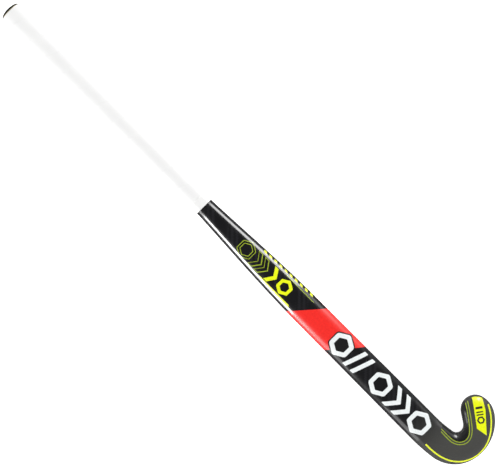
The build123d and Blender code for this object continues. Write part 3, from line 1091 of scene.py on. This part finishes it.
    def along_rim(self, inset: float, ends: tuple) -> Points:
        """Give the head's outline, moved in, between the points nearest to two places."""
        rim = self.form.edge + self.form.inward * inset
        first, last = (np.linalg.norm(rim - end, axis=1).argmin() for end in ends)
        return [tuple(p) for p in rim[first : last + 1]]

    def panel_shapes(self) -> list[Shape]:
        """The lime panel on the toe, which follows the toe's outline on one side."""
        follow = self.along_rim(self.panel_inset, self.panel_rim)
        return [Shape([*self.panel_corners, *follow])]

    def painted_crook_shade_shapes(self) -> list[Shape]:
        """Painted shade: the black zone between the inner pinstripe and the crook's edge, where the
        strongly curved surface faces sideways and falls dark.
        """
        line = ribbon(self.inner_pin, 0.4)
        return [Shape([*self.along_rim(self.crook_inset, self.crook_rim), *line[: len(line) // 2]])]

    def backing_shapes(self) -> list[Shape]:
        """The black ground of the first white ring, where it stands on the red."""
        ground = hexagon(self.rings_at[0], self.middle, self.row_ring + 2.0)
        return [Shape(softened(ground, Corner.ROUND))]

    def mark_shapes(self) -> list[Shape]:
        """The dark bars and ring on the toe panel."""
        turn = math.radians(self.panel_turn)
        ahead = np.array([math.cos(turn), math.sin(turn)])
        side = np.array([-math.sin(turn), math.cos(turn)])
        shapes = []
        for x, y, wide in self.panel_bars:
            spot = np.array([x, y])
            corners = [
                spot + ahead * wide / 2 * a + side * 5.0 * b
                for a, b in ((-1, -1), (1, -1), (1, 1), (-1, 1))
            ]
            shapes.append(Shape([tuple(c) for c in corners]))
        x, y = self.panel_ring
        shapes.append(Shape(hexagon(x, y, 5.8, -5), hexagon(x, y, 3.3, -5)))
        return shapes

    def build(self) -> None:
        """Make every film but the row of dashes."""
        self.red = self.band()
        self.white = self.lay("white_emblem_film", self.white_shapes(), 0.16)
        self.lime = self.lay("lime_emblem_film", self.lime_shapes())
        self.hollow = self.lay("lime_outline_film", self.outline_shapes())
        self.rail = self.lay("rail_film", [Shape(slash(575.4, 14.6, 55, 0.9, 0))])
        self.edge = self.lay("head_edge_film", [Shape(ribbon(self.edge_path, 2.2))])
        pins = [Shape(ribbon(path, 1.1)) for path in (self.outer_pin, self.inner_pin)]
        self.pins = self.lay("pinstripe_film", pins, 0.12)
        # painted shade: a black film over the crook's curved edge, where the surface faces sideways
        # and falls dark
        self.crook = self.lay("crook_film", self.painted_crook_shade_shapes(), 0.06)
        self.backing = self.lay("emblem_ground_film", self.backing_shapes(), 0.12)
        self.panel = self.lay("toe_panel_film", self.panel_shapes())
        self.marks = self.lay("toe_mark_film", self.mark_shapes(), 0.16)

    def dress(self) -> None:
        """Give each film its ink."""
        red = TransferFilm("red_ink", "#FB2A22", "#F0241E").make()
        white = TransferFilm("white_ink", "#F2F6F6", "#E8EDEE").make()
        self.lime_ink = TransferFilm("lime_ink", "#F2FC05", "#E6F205").make()
        olive = TransferFilm("olive_ink", "#A9BE2E", "#98AD28").make()
        dark = TransferFilm("dark_ink", "#2A2B26", "#333430").make()
        # black ink serves both the printed ground of the first ring and the painted shade in the
        # crook
        black = TransferFilm("black_ink", "#101012", "#161618").make()
        for piece, ink, slot, node in (
            (self.red, red, "red_film", "red_band"),
            (self.white, white, "white_film", "white_emblems"),
            (self.lime, self.lime_ink, "lime_film", "lime_emblems"),
            (self.hollow, olive, "olive_film", "lime_outlines"),
            (self.rail, olive, "olive_film", "rail_line"),
            (self.edge, self.lime_ink, "lime_film", "head_edge_line"),
            (self.pins, olive, "olive_film", "pinstripes"),
            # painted shade: the black film in the crook
            (self.crook, black, "dark_film", "pinstripes"),
            (self.backing, black, "dark_film", "white_emblems"),
            (self.panel, self.lime_ink, "lime_film", "toe_panel"),
            (self.marks, dark, "dark_film", "toe_panel_marks"),
        ):
            settle(piece, ink, slot, node)


@dataclass
class EdgeDashes:
    """The row of short lime dashes along the toe side, laid on the shell by a node tree."""

    form: StickForm
    start: tuple[float, float] = (504.2, 16.6)
    end: tuple[float, float] = (592.6, 20.0)
    count: int = 10
    length: float = 5.2
    height: float = 2.7
    lean: float = -2.4
    lift: float = 0.08

    def build(self, shell: bpy.types.Object, material: bpy.types.Material) -> None:
        """Make the dashes.

        Args:
            shell: What they lie on.
            material: Their ink, which the tree sets.
        """
        tree, sockets = new_geometry_tree("dashes_on_a_surface", {
            "Start": "Vector", "End": "Vector", "Count": "Int", "Length": "Float",
            "Height": "Float", "Lean": "Float", "Lift": "Float", "Surface": "Object",
            "Ink": "Material",
        })
        given = add_node(tree, "NodeGroupInput").outputs
        dash = add_node(
            tree, "GeometryNodeMeshGrid", values={"Vertices X": 7, "Vertices Y": 7},
            links={"Size X": given["Length"], "Size Y": given["Height"]},
        )
        spot = add_node(tree, "GeometryNodeInputPosition")
        axes = add_node(tree, "ShaderNodeSeparateXYZ", links={0: spot})
        share = add_node(
            tree, "ShaderNodeMath", {"operation": "DIVIDE"},
            links={0: axes.outputs["Y"], 1: given["Height"]},
        )
        shear = add_node(
            tree, "ShaderNodeMath", {"operation": "MULTIPLY"},
            links={0: share, 1: given["Lean"]},
        )
        slide = add_node(tree, "ShaderNodeCombineXYZ", links={"X": shear})
        leaning = add_node(
            tree, "GeometryNodeSetPosition",
            links={"Geometry": dash.outputs["Mesh"], "Offset": slide},
        )
        row = add_node(
            tree, "GeometryNodeMeshLine", {"mode": "END_POINTS"},
            links={
                "Count": given["Count"], "Start Location": given["Start"], "Offset": given["End"],
            },
        )
        placed = add_node(
            tree, "GeometryNodeInstanceOnPoints",
            links={"Points": row.outputs["Mesh"], "Instance": leaning.outputs["Geometry"]},
        )
        real = add_node(
            tree, "GeometryNodeRealizeInstances", links={0: placed.outputs["Instances"]}
        )
        target = add_node(tree, "GeometryNodeObjectInfo", links={"Object": given["Surface"]})
        cast = add_node(
            tree, "GeometryNodeRaycast", values={"Ray Direction": (0, 0, -1), "Ray Length": 1.0},
            links={"Target Geometry": target.outputs["Geometry"]},
        )
        raised = add_node(
            tree, "ShaderNodeVectorMath", {"operation": "SCALE"},
            links={0: cast.outputs["Hit Normal"], "Scale": given["Lift"]},
        )
        final = add_node(
            tree, "ShaderNodeVectorMath", {"operation": "ADD"},
            links={0: cast.outputs["Hit Position"], 1: raised},
        )
        laid = add_node(
            tree, "GeometryNodeSetPosition",
            links={"Geometry": real, "Position": final},
        )
        inked = add_node(
            tree, "GeometryNodeSetMaterial",
            links={"Geometry": laid.outputs["Geometry"], "Material": given["Ink"]},
        )
        add_node(tree, "NodeGroupOutput", links={0: inked})
        above = self.form.place(np.array([(*self.start, 90.0), (*self.end, 90.0)]))
        piece = run_tree(
            "edge_dash_film", tree,
            {
                sockets["Start"]: tuple(above[0]), sockets["End"]: tuple(above[1]),
                sockets["Count"]: self.count, sockets["Length"]: self.length * MM,
                sockets["Height"]: self.height * MM, sockets["Lean"]: self.lean * MM,
                sockets["Lift"]: self.lift * MM, sockets["Surface"]: shell,
                sockets["Ink"]: material,
            },
        )
        piece.data.shade_smooth()
        settle(piece, material, "lime_film", "edge_dashes")


def run_tree(
    name: str,
    tree: bpy.types.NodeTree,
    inputs: dict[bpy.types.NodeTreeInterfaceSocket, object],
    mesh: bpy.types.Mesh | None = None,
) -> bpy.types.Object:
    """Run a geometry tree and keep its result as a plain mesh.

    Args:
        name: The piece's name.
        tree: The geometry tree.
        inputs: A value for each of the tree's inputs.
        mesh: What the tree starts from, if anything.

    Returns:
        The finished object.
    """
    host = add_object(name, mesh or bpy.data.meshes.new(name))
    modifier = host.modifiers.new("maker", "NODES")
    modifier.node_group = tree
    for socket, value in inputs.items():
        modifier[socket.identifier] = value
    ready = host.evaluated_get(bpy.context.evaluated_depsgraph_get())
    result = bpy.data.meshes.new_from_object(ready)
    host.modifiers.clear()
    host.data = result
    return host


# --- The handle ---------------------------------------------------------------------------------


@dataclass
class Handle:
    """The grip tape with its flared butt, the finishing tape and the rubber cap."""

    form: StickForm
    layers: float = 1.5
    cone: float = 2.6
    lip: float = 1.2
    knob_end: float = 88.0
    pitch: float = 33.0
    ridge: float = 0.35
    seam: float = 4.0
    finish_width: float = 14.0
    finish_tape: float = 0.35
    cap_radius: float = 15.5
    cap_band: float = 0.8
    around: int = 96

    def flare(self, along: float) -> float:
        """How much wider than the rest of the grip the butt is there."""
        up = max((self.knob_end - along) / (self.knob_end - self.form.cap_rim), 0.0)
        return self.cone * up + self.lip * up**6

    def section(self, along: float, more: float) -> np.ndarray:
        """Give a rounded section of the handle, grown by more on every side."""
        form, turn = self.form, np.linspace(0, 2 * math.pi, self.around, endpoint=False)
        wide = float(form.half_width(along)) + more
        high = float(form.depth(along)) / 2 + more
        power = 2.12
        c, s = np.cos(turn), np.sin(turn)
        across = wide * np.sign(c) * np.abs(c) ** (2 / power)
        up = high * np.sign(s) * np.abs(s) ** (2 / power)
        return np.column_stack([np.full(self.around, along), across, form.centre(along) + up])

    def tube(self, name: str, along: np.ndarray, extra: np.ndarray, bore: float) -> bpy.types.Mesh:
        """Make a closed tube over the handle.

        Args:
            name: The mesh's name.
            along: Stations from the butt downwards.
            extra: Thickness at each, over the bare handle.
            bore: Thickness of what is under it.

        Returns:
            The mesh, with each outside point's place along and round the handle stored.
        """
        rows = [self.section(x, e) for x, e in zip(along, extra)]
        back = [self.section(x, bore + self.flare(x) / 2) for x in along[::-8]]
        back[-1][:, 0] = along[0]
        rows += back
        points = np.array(rows)
        numbers = np.arange(len(rows) * self.around).reshape(len(rows), self.around)
        numbers = np.vstack([numbers, numbers[:1]])
        beside = np.roll(numbers, -1, 1)
        quads = np.stack([numbers[:-1], beside[:-1], beside[1:], numbers[1:]], -1)
        mesh = bpy.data.meshes.new(name)
        placed = self.form.place(points.reshape(-1, 3)).tolist()
        mesh.from_pydata(placed, [], quads.reshape(-1, 4).tolist())
        turn_outwards(mesh)
        down = mesh.attributes.new("down_mm", "FLOAT", "POINT")
        turn = mesh.attributes.new("turn", "FLOAT", "POINT")
        skin = mesh.attributes.new("outside", "FLOAT", "POINT")
        down.data.foreach_set("value", points[:, :, 0].ravel().astype(np.float32))
        share = np.tile(np.arange(self.around) / self.around, len(rows))
        turn.data.foreach_set("value", share.astype(np.float32))
        outside = np.repeat(np.arange(len(rows)) < len(along), self.around)
        skin.data.foreach_set("value", outside.astype(np.float32))
        mesh.shade_smooth()
        return mesh

    def winding_tree(
        self,
    ) -> tuple[bpy.types.NodeTree, dict[str, bpy.types.NodeTreeInterfaceSocket]]:
        """Make the tree that raises the tape's overlaps in a spiral.

        Returns:
            The tree and its inputs by name.
        """
        tree, sockets = new_geometry_tree("wound_tape", {
            "Geometry": "Geometry", "Pitch": "Float", "Ridge": "Float", "Seam": "Float",
            "Tape": "Material",
        })
        given = add_node(tree, "NodeGroupInput").outputs
        fields = {
            name: add_node(
                tree, "GeometryNodeInputNamedAttribute", {"data_type": "FLOAT"}, {"Name": name}
            ).outputs["Attribute"]
            for name in ("down_mm", "turn", "outside")
        }
        turns = add_node(
            tree, "ShaderNodeMath", {"operation": "DIVIDE"},
            links={0: fields["down_mm"], 1: given["Pitch"]},
        )
        wound = add_node(
            tree, "ShaderNodeMath", {"operation": "ADD"},
            links={0: turns, 1: fields["turn"]},
        )
        phase = add_node(tree, "ShaderNodeMath", {"operation": "FRACT"}, links={0: wound})
        past = add_node(
            tree, "ShaderNodeMath", {"operation": "MULTIPLY"},
            links={0: phase, 1: given["Pitch"]},
        )
        rise = add_node(
            tree, "ShaderNodeMapRange", {"interpolation_type": "SMOOTHSTEP"},
            {"From Min": 0.0, "From Max": 0.9, "To Min": 0.0, "To Max": 1.0}, {"Value": past},
        )
        fall = add_node(
            tree, "ShaderNodeMapRange", {"interpolation_type": "SMOOTHSTEP"},
            {"From Min": 0.9, "To Min": 1.0, "To Max": 0.0},
            {"Value": past, "From Max": given["Seam"]},
        )
        bead = add_node(
            tree, "ShaderNodeMath", {"operation": "MULTIPLY"},
            links={0: rise, 1: fall},
        )
        high = add_node(
            tree, "ShaderNodeMath", {"operation": "MULTIPLY"},
            links={0: bead, 1: given["Ridge"]},
        )
        only = add_node(
            tree, "ShaderNodeMath", {"operation": "MULTIPLY"},
            links={0: high, 1: fields["outside"]},
        )
        facing = add_node(tree, "GeometryNodeInputNormal")
        push = add_node(
            tree, "ShaderNodeVectorMath", {"operation": "SCALE"},
            links={0: facing, "Scale": only},
        )
        moved = add_node(
            tree, "GeometryNodeSetPosition",
            links={"Geometry": given["Geometry"], "Offset": push},
        )
        real = add_node(tree, "GeometryNodeRealizeInstances", links={0: moved})
        done = add_node(
            tree, "GeometryNodeSetMaterial",
            links={"Geometry": real, "Material": given["Tape"]},
        )
        add_node(tree, "NodeGroupOutput", links={0: done})
        return tree, sockets

    def build(self) -> None:
        """Make the grip, the finishing tape and the cap."""
        form = self.form
        along = np.arange(form.cap_rim, form.grip_end + 0.1, 1.0)
        extra = np.array([self.layers + self.flare(x) / 2 for x in along])
        extra[0] -= 0.5
        mesh = self.tube("grip_tape_skin", along, extra, 0.55)
        tree, sockets = self.winding_tree()
        tape = GrainedSkin("polyurethane_tape", "#EFEFEE", "#E7E7E7", 0.55, (0.42, 0.55), 0.03, 0.0)
        self.tape = tape.make()
        values = {
            sockets["Pitch"]: self.pitch, sockets["Ridge"]: self.ridge * MM,
            sockets["Seam"]: self.seam, sockets["Tape"]: self.tape,
        }
        self.grip = run_tree("grip_tape_skin", tree, values, mesh)
        first = form.grip_end - self.finish_width
        along = np.linspace(first, form.grip_end + 0.6, 17)
        thick = np.full(17, self.layers + self.finish_tape)
        thick[0] -= 0.25
        thick[-1] -= 0.45
        band = self.tube("finishing_tape_skin", along, thick, self.layers - 0.6)
        self.band = add_object("finishing_tape_skin", band)
        self.cap = self.build_cap()

    def build_cap(self) -> bpy.types.Object:
        """Make the domed rubber cap, with a small rolled edge and a moulded ring."""
        form, rim = self.form, self.form.cap_rim
        slope = (float(form.centre(rim + 1)) - float(form.centre(rim - 1))) / 2
        tilt = math.atan(slope)
        ahead = np.array([math.cos(tilt), 0, math.sin(tilt)])
        upward = np.array([-math.sin(tilt), 0, math.cos(tilt)])
        centre = np.array([rim, 0, float(form.centre(rim))])
        outline = [
            (self.cap_radius - 1.0, 0.0), (self.cap_radius - 0.25, -0.1),
            (self.cap_radius, -0.5), (self.cap_radius, -self.cap_band + 0.6),
        ]
        for share in np.linspace(0, 1, 22)[:-1]:
            radius = self.cap_radius * math.cos(share * math.pi / 2) ** 0.9
            fall = (rim - self.cap_band) * math.sin(share * math.pi / 2)
            outline.append((radius, -self.cap_band - fall))
        ring = 5.2
        outline = [
            (r, z + 0.35 * math.exp(-(((r - ring) / 0.5) ** 2)) if z < -self.cap_band else z)
            for r, z in outline
        ]
        turn = np.linspace(0, 2 * math.pi, self.around, endpoint=False)
        sideways = np.array([0, 1, 0])
        rows = np.array([
            [
                centre + ahead * z + r * (math.cos(a) * sideways + math.sin(a) * upward)
                for a in turn
            ]
            for r, z in outline
        ])
        count = len(rows)
        numbers = np.arange(count * self.around).reshape(count, self.around)
        beside = np.roll(numbers, -1, 1)
        quads = np.stack([numbers[:-1], beside[:-1], beside[1:], numbers[1:]], -1)
        quads = quads.reshape(-1, 4).tolist()
        points = np.vstack([rows.reshape(-1, 3), centre - ahead * rim, centre])
        tip, base = count * self.around, count * self.around + 1
        quads += [(int(numbers[-1][n]), int(beside[-1][n]), tip) for n in range(self.around)]
        quads += [(int(beside[0][n]), int(numbers[0][n]), base) for n in range(self.around)]
        mesh = bpy.data.meshes.new("butt_cap")
        mesh.from_pydata(form.place(points).tolist(), [], quads)
        turn_outwards(mesh)
        mesh.shade_smooth()
        return add_object("butt_cap", mesh)

    def dress(self) -> None:
        """Give each piece its skin."""
        vinyl = GrainedSkin(
            "finishing_vinyl", "#F3F3F2", "#E9E9E8", 2.4, (0.25, 0.35), 0.02, 0.4
        ).make()
        rubber = GrainedSkin("moulded_rubber", "#1B1B1C", "#121213", 0.4, (0.38, 0.55), 0.02).make()
        settle(self.grip, self.tape, "grip_polyurethane", "grip_tape")
        settle(self.band, vinyl, "finishing_vinyl", "finishing_tape")
        settle(self.cap, rubber, "cap_rubber", "end_cap")


@dataclass
class InnerPieces:
    """What the laminate and the grip hide: tubes, cores, plug, weight and wraps."""

    nodes: dict[str, bpy.types.Object]

    def dress(self) -> None:
        """Give each inner piece the material that it is made of."""
        prepreg = CoreStuff("cured_prepreg", "#2B2C2F", "#191A1C", 2.0, 0.5).make()
        foam = CoreStuff("polyurethane_foam", "#E6D9B4", "#C9B98C", 0.8, 0.9).make()
        aramid = CoreStuff("aramid_cloth", "#E2C75A", "#A98D2E", 1.2, 0.6).make()
        dense = CoreStuff("plug_foam", "#4A4A4A", "#2C2C2C", 0.7, 0.85).make()
        steel = CoreStuff("turned_steel", "#B9B9BC", "#8E8E92", 0.6, 0.35, 1.0).make()
        knob = CoreStuff("knob_foam", "#E0D3AE", "#C4B58D", 0.9, 0.9).make()
        elastomer = CoreStuff("soft_elastomer", "#2A2A2D", "#18181A", 1.1, 0.7).make()
        wrap = CoreStuff("foam_wrap", "#E4E4E1", "#CFCFCB", 0.7, 0.85).make()
        finishes = {
            "toe_side_tube": prepreg, "heel_side_tube": prepreg, "toe_side_foam": foam,
            "heel_side_foam": foam, "head_core": foam, "impact_ply": aramid, "butt_plug": dense,
            "balance_weight": steel, "butt_knob": knob, "damping_sleeve": elastomer,
            "underwrap": wrap,
        }
        for name, material in finishes.items():
            mesh = self.nodes[name].data
            mesh.materials.clear()
            mesh.materials.append(material)
            LOG.info("%s: dressed in %s", name, material.name)


# --- The studio -------------------------------------------------------------------------------


@dataclass
class Strip:
    """One soft strip light beside the stick, a metre away.

    Attributes:
        name: The light's name.
        side: 1 for the toe side and -1 for the heel side.
        along: Where it starts and ends down the shaft.
        angles: Its lower and upper edge, in degrees above the table.
        glow: Its brightness.
        spread: How widely a grid on its face lets it shine, in degrees.
        away: Its distance in metres.
    """

    name: str
    side: int
    along: tuple[float, float]
    angles: tuple[float, float]
    glow: float
    spread: float = 180.0
    away: float = 1.0

    def build(self, form: StickForm) -> None:
        """Make the light."""
        low, high = (math.radians(a) for a in self.angles)
        middle = (low + high) / 2
        tall = 2 * self.away * math.tan((high - low) / 2)
        wide = (self.along[1] - self.along[0]) * MM
        centre = Vector(form.place(np.array([[sum(self.along) / 2, 0, 20.0]]))[0])
        out = Vector((0, self.side * math.cos(middle), math.sin(middle)))
        lamp = bpy.data.lights.new(self.name, "AREA")
        lamp.shape, lamp.size, lamp.size_y = "RECTANGLE", wide, tall
        lamp.energy = self.glow * math.pi * wide * tall
        lamp.spread = math.radians(self.spread)
        holder = add_object(self.name, lamp)
        holder.visible_diffuse = False  # it only draws a highlight on the lacquer
        across = Vector((self.side, 0, 0))
        frame = Matrix((across, out.cross(across), out)).transposed()
        holder.matrix_world = Matrix.Translation(centre + out * self.away) @ frame.to_4x4()


@dataclass
class Studio:
    """A pale table, soft light from the sides and a camera straight above."""

    form: StickForm
    roll: float = 45.23
    aim: tuple[float, float, float] = (468.4, 19.9, 20.0)
    field_width: float = 711.65
    distance: float = 2200.0
    sides: float = 2.42
    overhead: float = 0.22
    flagged: str = "#4A4A4A"
    lit_from_below: float = 0.78

    def build(self) -> None:
        """Make the table, the lights, the surroundings and the camera."""
        self.build_table()
        self.build_surroundings()
        self.build_strips()
        self.build_camera()

    def build_table(self) -> None:
        """Make the table top."""
        mesh = bpy.data.meshes.new("table")
        reach = 6.0
        corners = [(-reach, -reach, 0), (reach, -reach, 0), (reach, reach, 0), (-reach, reach, 0)]
        mesh.from_pydata(corners, [], [(0, 1, 2, 3)])
        table = add_object("table", mesh)
        tree, shader = new_shader(
            "lit_table", Roughness=0.9, Specular_IOR_Level=0.1,
            Emission_Strength=self.lit_from_below,
        )
        path = add_node(tree, "ShaderNodeLightPath")
        colour = add_node(
            tree, "ShaderNodeMix", {"data_type": "RGBA"},
            {6: linear("#F7F7F7"), 7: linear(self.flagged)}, {0: path.outputs["Is Glossy Ray"]},
        )
        tree.links.new(colour.outputs[2], shader.inputs["Base Color"])
        tree.links.new(colour.outputs[2], shader.inputs["Emission Color"])
        mesh.materials.append(finished(tree))
        table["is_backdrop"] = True

    def build_surroundings(self) -> None:
        """Make the room: bright round the sides and dim overhead, so the back stays dark."""
        world = bpy.data.worlds.new("studio")
        world.use_nodes = True
        tree = world.node_tree
        tree.nodes.clear()
        place = add_node(tree, "ShaderNodeTexCoord")
        axes = add_node(tree, "ShaderNodeSeparateXYZ", links={0: place.outputs["Generated"]})
        light = add_node(
            tree, "ShaderNodeMapRange", {"interpolation_type": "SMOOTHSTEP"},
            {"From Min": 0.55, "From Max": 0.9, "To Min": self.sides, "To Max": self.overhead},
            {"Value": axes.outputs["Z"]},
        )
        seen = add_node(
            tree, "ShaderNodeMapRange", {"interpolation_type": "SMOOTHSTEP"},
            {"From Min": 0.0, "From Max": 0.8, "To Min": 0.35, "To Max": 0.06},
            {"Value": axes.outputs["Z"]},
        )
        path = add_node(tree, "ShaderNodeLightPath")
        chosen = add_node(
            tree, "ShaderNodeMix", {"data_type": "FLOAT"},
            links={0: path.outputs["Is Glossy Ray"], 2: light, 3: seen},
        )
        glow = add_node(tree, "ShaderNodeBackground", links={"Strength": chosen})
        add_node(tree, "ShaderNodeOutputWorld", links={"Surface": glow})
        bpy.context.scene.world = world

    def build_strips(self) -> None:
        """Hang two soft strips on each side: one by the upper shaft, one by the blade."""
        strips = (
            Strip("toe_bright", 1, (320.0, 600.0), (4.0, 36.0), 9.5),
            Strip("toe_dim", 1, (600.0, 1000.0), (4.0, 34.0), 0.6),
            Strip("heel_bright", -1, (330.0, 640.0), (2.0, 32.0), 1.85, 50.0),
            Strip("heel_dim", -1, (640.0, 1050.0), (3.0, 42.0), 2.0),
        )
        for strip in strips:
            strip.build(self.form)

    def build_camera(self) -> None:
        """Look straight down, with the stick running from upper left to lower right."""
        camera = bpy.data.cameras.new("camera")
        camera.sensor_width = 36.0
        camera.lens = camera.sensor_width * self.distance / self.field_width
        camera.clip_start, camera.clip_end = 0.05, 20.0
        holder = add_object("camera", camera)
        turn = math.radians(self.roll)
        right = Vector((math.cos(turn), math.sin(turn), 0))
        upward = Vector((-math.sin(turn), math.cos(turn), 0))
        aim = Vector(self.form.place(np.array([self.aim]))[0])
        frame = Matrix((right, upward, Vector((0, 0, 1)))).transposed()
        above = Matrix.Translation(aim + Vector((0, 0, self.distance * MM)))
        holder.matrix_world = above @ frame.to_4x4()
        bpy.context.scene.camera = holder
        bpy.context.scene.view_settings.view_transform = "Standard"


def main() -> None:
    """Build the stick and its studio."""
    logging.basicConfig(level=logging.INFO, format="%(name)s %(message)s")
    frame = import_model()
    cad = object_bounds()
    form = StickForm(corner=Vector(cad[0]))
    shell = MouldedShell(form)
    shell.build()
    shell.dress()
    films = PrintedFilms(form)
    films.build()
    films.dress()
    EdgeDashes(form).build(shell.piece, films.lime_ink)
    handle = Handle(form)
    handle.build()
    handle.dress()
    InnerPieces(frame["nodes"]).dress()
    Studio(form).build()


if __name__ == "__main__":
    main()
